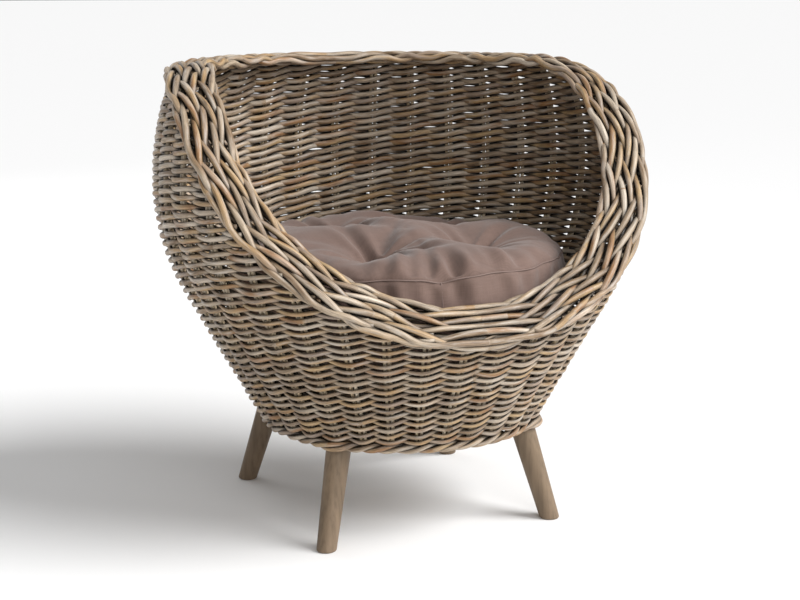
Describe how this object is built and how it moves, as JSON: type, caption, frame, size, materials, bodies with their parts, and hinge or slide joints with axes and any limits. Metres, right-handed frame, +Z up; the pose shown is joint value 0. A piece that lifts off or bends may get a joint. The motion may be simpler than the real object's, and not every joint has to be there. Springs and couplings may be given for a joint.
{
  "type": "pet bed basket",
  "caption": "Round woven rattan pet bed with a high back, a low plaited front opening, splayed wooden legs and a loose tufted cushion.",
  "frame": {"origin": "on the floor at the centre of the four feet, which is the bottom centre of the bounding box", "axes": "+Z up, +X to the basket's left-right width, -Y is the open front"},
  "size_m": [0.5593, 0.5207, 0.5225],
  "materials": {
    "leg_wood": "grey-brown stained hardwood, satin",
    "block_wood": "plain sawn hardwood",
    "plywood": "plain plywood",
    "zinc_steel": "zinc plated",
    "insert_brass": "plain brass",
    "kubu_rattan": "weathered grey kubu rattan, matt",
    "stake_cane": "pale tan cane, satin",
    "rim_cane": "thick weathered grey rattan, matt",
    "cushion_cotton": "mauve-taupe plain-woven cotton",
    "fibre_filling": "white polyester fibre",
    "tuft_thread": "strong thread in the cover's colour"
  },
  "bodies": {
    "basket": {"leg_front_left": "leg_wood", "leg_front_right": "leg_wood", "leg_rear_left": "leg_wood", "leg_rear_right": "leg_wood", "leg_block_front_left": "block_wood", "leg_block_front_right": "block_wood", "leg_block_rear_left": "block_wood", "leg_block_rear_right": "block_wood", "hanger_bolts": "zinc_steel", "threaded_inserts": "insert_brass", "block_screws": "zinc_steel", "seat_board": "plywood", "board_nails": "zinc_steel", "outer_weave": "kubu_rattan", "inner_weave": "kubu_rattan", "upright_stakes": "stake_cane", "foot_border": "kubu_rattan", "woven_base": "kubu_rattan", "rim_braid": "rim_cane"},
    "cushion": {"cushion_top_panel": "cushion_cotton", "cushion_side_band": "cushion_cotton", "cushion_bottom_panel": "cushion_cotton", "cushion_filling": "fibre_filling", "cushion_tuft_ties": "tuft_thread"}
  },
  "joints": [
    {"name": "cushion_lift", "type": "slide", "parent": "basket", "child": "cushion", "axis": [0, 0, 1], "range_m": [0, 0.34]}
  ]
}
